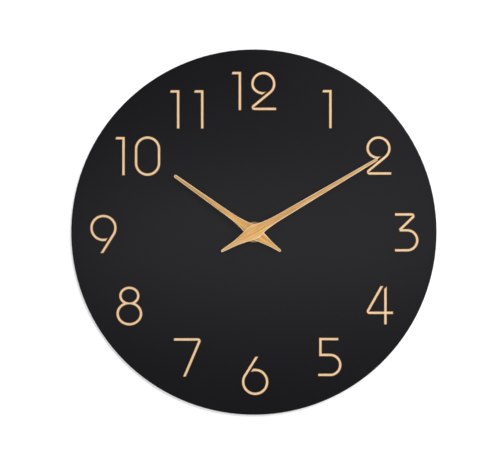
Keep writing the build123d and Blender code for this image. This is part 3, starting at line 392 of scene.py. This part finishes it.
# Matt black lacquer: the peel is 1.2 mm across, and the sheen clouds over 50 mm with the passes of
# the gun. The last 1 mm to the rim takes only dry spray, so its shine fades out.
peel_size = 0.0012
pass_width = 0.05
dry_band = 0.001
lacquer_shine = 0.2
dial_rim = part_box("dial_board")[1].x
lacquer, dial_tree = new_finish("sprayed_matt_black_lacquer")
dial_place = add_node(dial_tree, "ShaderNodeTexCoord").outputs["Object"]
peel = add_node(dial_tree, "ShaderNodeTexNoise",
                {"Vector": dial_place, "Scale": 1 / peel_size, "Detail": 2.0, "Roughness": 0.45})
passes = add_node(dial_tree, "ShaderNodeTexNoise",
                  {"Vector": dial_place, "Scale": 1 / pass_width, "Detail": 2.0})
dial_tint = add_node(dial_tree, "ShaderNodeMix",
                     {0: passes.outputs["Fac"], 6: linear("0A0A0E"), 7: linear("0C0C12")},
                     data_type="RGBA").outputs[2]
dial_gloss = add_node(dial_tree, "ShaderNodeMapRange",
                      {"Value": passes.outputs["Fac"], "To Min": 0.27, "To Max": 0.31}).outputs[0]
dial_bump = add_node(dial_tree, "ShaderNodeBump",
                     {"Height": peel.outputs["Fac"], "Strength": 0.6,
                      "Distance": 0.000012}).outputs[0]
dial_flat = add_node(dial_tree, "ShaderNodeMapping",
                     {"Vector": dial_place, "Scale": (1, 0, 1)}).outputs[0]
dial_radius = add_node(dial_tree, "ShaderNodeVectorMath", {0: dial_flat},
                       operation="LENGTH").outputs["Value"]
dial_shine = add_node(dial_tree, "ShaderNodeMapRange",
                      {"Value": dial_radius, "From Min": dial_rim - dry_band,
                       "From Max": dial_rim, "To Min": lacquer_shine, "To Max": 0.0}).outputs[0]
dial_skin = add_node(dial_tree, "ShaderNodeBsdfPrincipled",
                     {"Base Color": dial_tint, "Roughness": dial_gloss, "Normal": dial_bump,
                      "Specular IOR Level": dial_shine})
add_node(dial_tree, "ShaderNodeOutputMaterial", {"Surface": dial_skin.outputs[0]})
coat(lacquer, "dial_board")

# ---------------------------------------------------------------- numerals
# The twelve numerals are cut from 0.4 mm pale gold film and stuck to the dial. The film's core is
# dark brown, and shows as a thin line round each numeral because the cut slopes outwards.

# Printed film: a flat pale gold with an upright grain of lines 0.5 mm apart, and a dry, matt face.
print_line = 0.0005
print_stretch = 0.06
film_finish, film_tree = new_finish("printed_pale_gold_film")
film_place = add_node(film_tree, "ShaderNodeTexCoord").outputs["Object"]
film_laid = add_node(film_tree, "ShaderNodeMapping",
                     {"Vector": film_place, "Scale": (1, 1, print_stretch)}).outputs[0]
film_grain = add_node(film_tree, "ShaderNodeTexNoise",
                      {"Vector": film_laid, "Scale": 1 / print_line, "Detail": 3.0})
film_tint = add_node(film_tree, "ShaderNodeMix",
                     {0: film_grain.outputs["Fac"], 6: linear("E6BE8E"), 7: linear("F2D3A8")},
                     data_type="RGBA").outputs[2]
film_bump = add_node(film_tree, "ShaderNodeBump",
                     {"Height": film_grain.outputs["Fac"], "Distance": 0.000004}).outputs[0]
film_skin = add_node(film_tree, "ShaderNodeBsdfPrincipled",
                     {"Base Color": film_tint, "Roughness": 0.62, "Normal": film_bump})
add_node(film_tree, "ShaderNodeOutputMaterial", {"Surface": film_skin.outputs[0]})

# The film's core: brown paper board, matt, with a fine grain drawn 0.4 mm wide.
film_core = grained("brown_film_core", "55300E", "6E4017", grain=0.0004, roughness=0.7,
                    spread=0.06, relief=0.00001)


def cut_sheet(name, node, face, edge, rim, fall):
    """A piece cut from sheet to its CAD outline, with its face finish inside a rim of edge finish.

    The rim is measured in from the outline, which lies below the face by the fall.
    """
    front_limit = -0.9  # a front face looks along -Y, so its normal's y lies below this
    work = bmesh.new()
    work.from_mesh(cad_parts[node].data)
    bmesh.ops.remove_doubles(work, verts=work.verts[:], dist=1e-6)
    bmesh.ops.dissolve_limit(work, angle_limit=radians(0.5), verts=work.verts[:],
                             edges=work.edges[:])
    for side in work.faces:
        side.material_index = 1
    front = [side for side in work.faces if side.normal.y < front_limit]
    outline = {corner for side in front for corner in side.verts}
    rims = bmesh.ops.inset_region(work, faces=front, thickness=rim, use_even_offset=True)["faces"]
    for side in front:
        side.material_index = 0
    for corner in outline & {corner for side in rims for corner in side.verts}:
        if not any(side in front for side in corner.link_faces):
            corner.co.y += fall
    mesh = bpy.data.meshes.new(name)
    work.to_mesh(mesh)
    work.free()
    mesh.materials.append(face)
    mesh.materials.append(edge)
    mesh.shade_smooth()
    mesh.set_sharp_from_angle(angle=radians(25))
    piece = bpy.data.objects.new(name, mesh)
    bpy.context.scene.collection.objects.link(piece)
    return piece


core_rim = 0.00042
core_fall = 0.00015
for number in range(1, 13):
    numeral = cut_sheet(f"cut_numeral_{number}", f"numeral_{number}", film_finish, film_core,
                        core_rim, core_fall)
    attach(numeral, "movement")
    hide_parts(f"numeral_{number}")

# ---------------------------------------------------------------- bushing, washer and nut
# The bushing is a screwed brass tube whose flange sits inside the case. It passes through the
# dial, and a stamped washer and a turned hexagon nut on its thread clamp the whole clock.

# Turned brass: tarnished to a brown gold in patches 4 mm across. The tool rings about the hand
# axis are drawn 0.2 mm apart, wider than the real ones, so that they show.
tool_ring = 0.0002
tarnish_patch = 0.004
brass, brass_tree = new_finish("turned_brass")
brass_place = add_node(brass_tree, "ShaderNodeTexCoord").outputs["Object"]
flat = add_node(brass_tree, "ShaderNodeMapping",
                {"Vector": brass_place, "Scale": (1, 0, 1)}).outputs[0]
radius = add_node(brass_tree, "ShaderNodeVectorMath", {0: flat}, operation="LENGTH")
rings = add_node(brass_tree, "ShaderNodeTexNoise",
                 {"W": radius.outputs["Value"], "Scale": 1 / tool_ring, "Detail": 2.0},
                 noise_dimensions="1D")
tarnish = add_node(brass_tree, "ShaderNodeTexNoise",
                   {"Vector": brass_place, "Scale": 1 / tarnish_patch, "Detail": 3.0})
brass_share = add_node(brass_tree, "ShaderNodeMath",
                       {0: rings.outputs[0], 1: tarnish.outputs["Fac"]},
                       operation="MULTIPLY").outputs[0]
brass_tint = add_node(brass_tree, "ShaderNodeMix",
                      {0: brass_share, 6: linear("8A6C42"), 7: linear("BC9C70")},
                      data_type="RGBA").outputs[2]
brass_bump = add_node(brass_tree, "ShaderNodeBump",
                      {"Height": rings.outputs[0], "Distance": 0.000005}).outputs[0]
brass_skin = add_node(brass_tree, "ShaderNodeBsdfPrincipled",
                      {"Base Color": brass_tint, "Metallic": 1.0, "Roughness": 0.34,
                       "Normal": brass_bump})
add_node(brass_tree, "ShaderNodeOutputMaterial", {"Surface": brass_skin.outputs[0]})
coat(brass, "dial_washer", "hex_nut", "hour_hand_boss", "minute_hand_boss", "minute_arbor")


def turned(name, profile, steps=64):
    """A ring turned about the hand axis from a closed profile of (radius, depth) points."""
    lathe = bmesh.new()
    loops = []
    for i in range(steps):
        angle = 2 * pi * i / steps
        loops.append([lathe.verts.new((r * cos(angle), y, r * sin(angle))) for r, y in profile])
    for i in range(steps):
        here, there = loops[i], loops[(i + 1) % steps]
        for j in range(len(profile)):
            k = (j + 1) % len(profile)
            lathe.faces.new((here[j], here[k], there[k], there[j]))
    bmesh.ops.recalc_face_normals(lathe, faces=lathe.faces[:])
    mesh = bpy.data.meshes.new(name)
    lathe.to_mesh(mesh)
    lathe.free()
    return mesh


# The tube is turned to the root of an M8 fine thread, and one ridge winds up it to the nut's end.
low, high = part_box("threaded_bushing")
flange_radius = high.x
thread_radius = 0.004
thread_depth = 0.00035
thread_pitch = 0.00075
bore_radius = 0.00255
flange_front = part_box("front_case")[0].y
flange_thickness = 0.001
flange_back = flange_front + flange_thickness
mouth = 0.0003
root = thread_radius - thread_depth
tube = turned("bushing_tube", [
    (bore_radius, high.y), (thread_radius, high.y), (thread_radius, flange_back),
    (flange_radius, flange_back), (flange_radius, flange_front), (root, flange_front),
    (root, low.y + mouth), (root - mouth, low.y), (bore_radius, low.y)])
thread_tree, size, made = shape_tree("screw_ridge", {
    "Root radius": "NodeSocketFloat", "Depth": "NodeSocketFloat", "Pitch": "NodeSocketFloat",
    "Length": "NodeSocketFloat", "Start": "NodeSocketVector", "Finish": "NodeSocketMaterial"})
winds = add_node(thread_tree, "ShaderNodeMath",
                 {0: size["Length"], 1: size["Pitch"]}, operation="DIVIDE").outputs[0]
path = add_node(thread_tree, "GeometryNodeCurveSpiral",
                {"Resolution": 40, "Rotations": winds, "Start Radius": size["Root radius"],
                 "End Radius": size["Root radius"], "Height": size["Length"]})
upright_path = add_node(thread_tree, "GeometryNodeSetCurveNormal",
                        {"Curve": path.outputs[0]}, mode="Z_UP")
ridge = add_node(thread_tree, "GeometryNodeCurvePrimitiveCircle",
                 {"Resolution": 4, "Radius": size["Depth"]})
wound = add_node(thread_tree, "GeometryNodeCurveToMesh",
                 {"Curve": upright_path.outputs[0], "Profile Curve": ridge.outputs[0],
                  "Fill Caps": True})
laid_over = add_node(thread_tree, "GeometryNodeTransform",
                     {"Geometry": wound.outputs[0], "Rotation": (pi / 2, 0, 0),
                      "Translation": size["Start"]})
joined = add_node(thread_tree, "GeometryNodeJoinGeometry", {"Geometry": size["Geometry"]})
thread_tree.links.new(laid_over.outputs[0], joined.inputs[0])
real = add_node(thread_tree, "GeometryNodeRealizeInstances", {"Geometry": joined.outputs[0]})
brassed = add_node(thread_tree, "GeometryNodeSetMaterial",
                   {"Geometry": real.outputs[0], "Material": size["Finish"]})
thread_tree.links.new(brassed.outputs[0], made.inputs[0])
bushing = grown("screwed_bushing", tube, thread_tree, {
    "Root radius": root, "Depth": thread_depth, "Pitch": thread_pitch,
    "Length": flange_front - low.y - 2 * thread_depth,
    "Start": (0, flange_front - thread_depth, 0), "Finish": brass})
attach(bushing, "movement")
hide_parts("threaded_bushing")

# ---------------------------------------------------------------- hands
# Each hand is sawn from 1.2 mm bamboo veneer, eased with fine paper and given a matt clear coat.
# The face is toffee brown with fibres along the hand, and the fresh cut all round it is paler.


def bamboo(name, bearing, dark, light, tip_darkening):
    """Coated bamboo with fibres 0.4 mm wide and 25 times as long, laid along a hand's bearing.

    The colour darkens by the given share from the belly out along the slim parts.
    """
    fibre_width = 0.0004
    fibre_stretch = 0.04
    band_width = 0.0025
    band_share = 0.4  # how much of the colour follows the bands, the rest follows the fibres
    belly_end = 0.02  # distances from the hub between which the darkening comes in
    shaft_start = 0.045
    tip_tint = (0.76, 0.76, 0.9, 1)
    finish, tree = new_finish(name)
    place = add_node(tree, "ShaderNodeTexCoord").outputs["Object"]
    turned_to_hand = add_node(tree, "ShaderNodeMapping",
                              {"Vector": place, "Rotation": (0, -bearing, 0)}).outputs[0]
    laid = add_node(tree, "ShaderNodeMapping",
                    {"Vector": turned_to_hand, "Scale": (1, 1, fibre_stretch)}).outputs[0]
    fibre = add_node(tree, "ShaderNodeTexNoise",
                     {"Vector": laid, "Scale": 1 / fibre_width, "Detail": 4.0, "Roughness": 0.6})
    band = add_node(tree, "ShaderNodeTexNoise",
                    {"Vector": laid, "Scale": 1 / band_width, "Detail": 2.0})
    share = add_node(tree, "ShaderNodeMix",
                     {0: band_share, 2: fibre.outputs["Fac"], 3: band.outputs["Fac"]},
                     data_type="FLOAT").outputs[0]
    contrast = add_node(tree, "ShaderNodeMapRange",
                        {"Value": share, "From Min": 0.4, "From Max": 0.6}).outputs[0]
    tint = add_node(tree, "ShaderNodeMix", {0: contrast, 6: linear(dark), 7: linear(light)},
                    data_type="RGBA").outputs[2]
    from_hub = add_node(tree, "ShaderNodeVectorMath", {0: place}, operation="LENGTH").outputs[1]
    # The face darkens from the belly out towards the tip, by the given share.
    towards_tip = add_node(tree, "ShaderNodeMapRange",
                      {"Value": from_hub, "From Min": belly_end, "From Max": shaft_start,
                       "To Max": tip_darkening}).outputs[0]
    tint = add_node(tree, "ShaderNodeMix",
                    {0: towards_tip, 6: tint, 7: tip_tint},
                    data_type="RGBA", blend_type="MULTIPLY").outputs[2]
    gloss = add_node(tree, "ShaderNodeMapRange",
                     {"Value": contrast, "To Min": 0.62, "To Max": 0.5}).outputs[0]
    bump = add_node(tree, "ShaderNodeBump",
                    {"Height": fibre.outputs["Fac"], "Distance": 0.00001}).outputs[0]
    skin = add_node(tree, "ShaderNodeBsdfPrincipled",
                    {"Base Color": tint, "Roughness": gloss, "Normal": bump})
    add_node(tree, "ShaderNodeOutputMaterial", {"Surface": skin.outputs[0]})
    return finish


def sawn_hand(name, node, body, face, edge):
    """A hand with its CAD outline, eased edges and a pale cut all round."""
    easing = 0.00045  # the bevel stops at 0.2 mm, where points of the outline lie close together
    hand = cut_sheet(name, node, face, edge, easing, 0.0)
    eased = hand.modifiers.new("eased_edge", "BEVEL")
    eased.width = easing
    eased.segments = 2
    eased.limit_method = "ANGLE"
    eased.angle_limit = radians(50)
    eased.material = 1
    eased.harden_normals = True
    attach(hand, body)
    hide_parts(node)


hour_bearing = radians(305.4)
minute_bearing = radians(59.4)
cut_tip_darkening = 0.3
sawn_hand("hour_leaf", "hour_hand", "hour_hand_group",
          bamboo("bamboo_hour_face", hour_bearing, "C98C3B", "F7C068", 0.95),
          bamboo("bamboo_hour_cut", hour_bearing, "EACDA0", "FAE4C0", cut_tip_darkening))
sawn_hand("minute_leaf", "minute_hand", "minute_hand_group",
          bamboo("bamboo_minute_face", minute_bearing, "DB9F51", "FFD083", 0.9),
          bamboo("bamboo_minute_cut", minute_bearing, "EACDA0", "FAE4C0", cut_tip_darkening))

# ---------------------------------------------------------------- wall and floor
# The clock hangs on a plain white wall above a plain pale floor. Only the eye sees the wall, and
# only from its front, so that light still reaches the clock's back and it can be looked at too.


def stage_sheet(name, corners, shown_white):
    """A flat pale sheet. A share of it looks white to the eye, and the rest keeps shadows."""
    mesh = bpy.data.meshes.new(name)
    mesh.from_pydata(corners, [], [(0, 1, 2, 3)])
    finish, tree = new_finish(name + "_paint")
    ray = add_node(tree, "ShaderNodeLightPath")
    seen = add_node(tree, "ShaderNodeMath",
                    {0: ray.outputs["Is Camera Ray"], 1: ray.outputs["Is Glossy Ray"]},
                    operation="ADD").outputs[0]
    seen = add_node(tree, "ShaderNodeMath", {0: seen, 1: ray.outputs["Is Transmission Ray"]},
                    operation="ADD", use_clamp=True).outputs[0]
    share = add_node(tree, "ShaderNodeMath", {0: seen, 1: shown_white},
                     operation="MULTIPLY").outputs[0]
    paint = add_node(tree, "ShaderNodeBsdfDiffuse", {"Color": linear("F4F4F4")}).outputs[0]
    white = add_node(tree, "ShaderNodeEmission", {"Color": (1, 1, 1, 1)}).outputs[0]
    shown = add_node(tree, "ShaderNodeMixShader", {0: share, 1: paint, 2: white}).outputs[0]
    behind = add_node(tree, "ShaderNodeNewGeometry").outputs["Backfacing"]
    clear = add_node(tree, "ShaderNodeBsdfTransparent").outputs[0]
    one_sided = add_node(tree, "ShaderNodeMixShader", {0: behind, 1: shown, 2: clear}).outputs[0]
    add_node(tree, "ShaderNodeOutputMaterial", {"Surface": one_sided})
    mesh.materials.append(finish)
    sheet = bpy.data.objects.new(name, mesh)
    bpy.context.scene.collection.objects.link(sheet)
    return sheet


reach = 3.0
floor_height = -0.6
wall_line = 0.0006
wall_white = 0.5
floor_white = 0.6
wall = stage_sheet("wall", [
    (-reach, wall_line, floor_height), (reach, wall_line, floor_height),
    (reach, wall_line, reach), (-reach, wall_line, reach)], wall_white)
wall.visible_diffuse = False
wall.visible_glossy = False
wall.visible_transmission = False
wall.visible_shadow = False
front_reach = 1.2
stage_sheet("floor", [
    (-reach, -front_reach, floor_height), (reach, -front_reach, floor_height),
    (reach, reach, floor_height), (-reach, reach, floor_height)], floor_white)

# ---------------------------------------------------------------- light
# A soft box stands up and to the right in front of the clock. A long faint one gives the lacquer
# its sheen, and a small one near the lens lights only the wall. The pale room lights the back.

dial_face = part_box("dial_board")[0].y


def soft_box(name, towards, distance, width, height, power, lights_wall):
    """An area lamp that faces the dial from a direction, and lights the wall alone or all else."""
    lamp = bpy.data.lights.new(name, "AREA")
    lamp.shape = "RECTANGLE"
    lamp.size = width
    lamp.size_y = height
    lamp.energy = power
    holder = bpy.data.objects.new(name, lamp)
    bpy.context.scene.collection.objects.link(holder)
    way = Vector(towards).normalized()
    holder.location = Vector((0, dial_face, 0)) + way * distance
    holder.rotation_euler = way.to_track_quat("Z", "Y").to_euler()
    holder.visible_camera = False
    aim = bpy.data.collections.new(name + "_aim")
    aim.objects.link(wall)
    holder.light_linking.receiver_collection = aim
    if not lights_wall:
        aim.collection_objects[0].light_linking.link_state = "EXCLUDE"


soft_box("key", (0.42, -0.83, 0.42), distance=2.0, width=0.7, height=0.7, power=29,
         lights_wall=False)
soft_box("sheen", (0.01, -1.0, -0.012), distance=1.35, width=0.68, height=0.1, power=1.19,
         lights_wall=False)
soft_box("wall_wash", (0.046, -1.0, 0.078), distance=1.4, width=0.12, height=0.12, power=22,
         lights_wall=True)

# The room is white wherever the eye looks straight or through something clear. Behind the wall it
# is white for metals and for light too, and in front it is dim, as the lacquer shows.
front_level = 0.08
back_level = 1.0
room = bpy.data.worlds.new("studio")
bpy.context.scene.world = room
room.use_nodes = True
room.node_tree.nodes.clear()
room_ray = add_node(room.node_tree, "ShaderNodeLightPath")
way_out = add_node(room.node_tree, "ShaderNodeTexCoord").outputs["Generated"]
way_axes = add_node(room.node_tree, "ShaderNodeSeparateXYZ", {"Vector": way_out})
lighting = add_node(room.node_tree, "ShaderNodeMapRange",
                    {"Value": way_axes.outputs["Y"], "From Min": -0.5, "From Max": 0.2,
                     "To Min": front_level, "To Max": back_level}).outputs[0]
straight = add_node(room.node_tree, "ShaderNodeMath",
                    {0: room_ray.outputs["Is Camera Ray"],
                     1: room_ray.outputs["Is Transmission Ray"]},
                    operation="ADD", use_clamp=True).outputs[0]
level = add_node(room.node_tree, "ShaderNodeMath", {0: lighting, 1: straight},
                 operation="MAXIMUM").outputs[0]
sky = add_node(room.node_tree, "ShaderNodeBackground", {"Color": (1, 1, 1, 1), "Strength": level})
add_node(room.node_tree, "ShaderNodeOutputWorld", {"Surface": sky.outputs[0]})

# ---------------------------------------------------------------- camera
# The camera looks straight at the wall, almost level with the hand axis. Its lens is long, so that
# the dial stays round and its edge hides itself.

view_width = 0.4103
camera_aside = -0.0032
camera_height = 0.0054
lens = bpy.data.cameras.new("camera")
lens.lens = 120
lens.sensor_width = 36
camera = bpy.data.objects.new("camera", lens)
bpy.context.scene.collection.objects.link(camera)
camera_distance = view_width * lens.lens / lens.sensor_width
camera.location = (camera_aside, dial_face - camera_distance, camera_height)
camera.rotation_euler = (pi / 2, 0, 0)
bpy.context.scene.camera = camera
bpy.context.scene.view_settings.view_transform = "Standard"
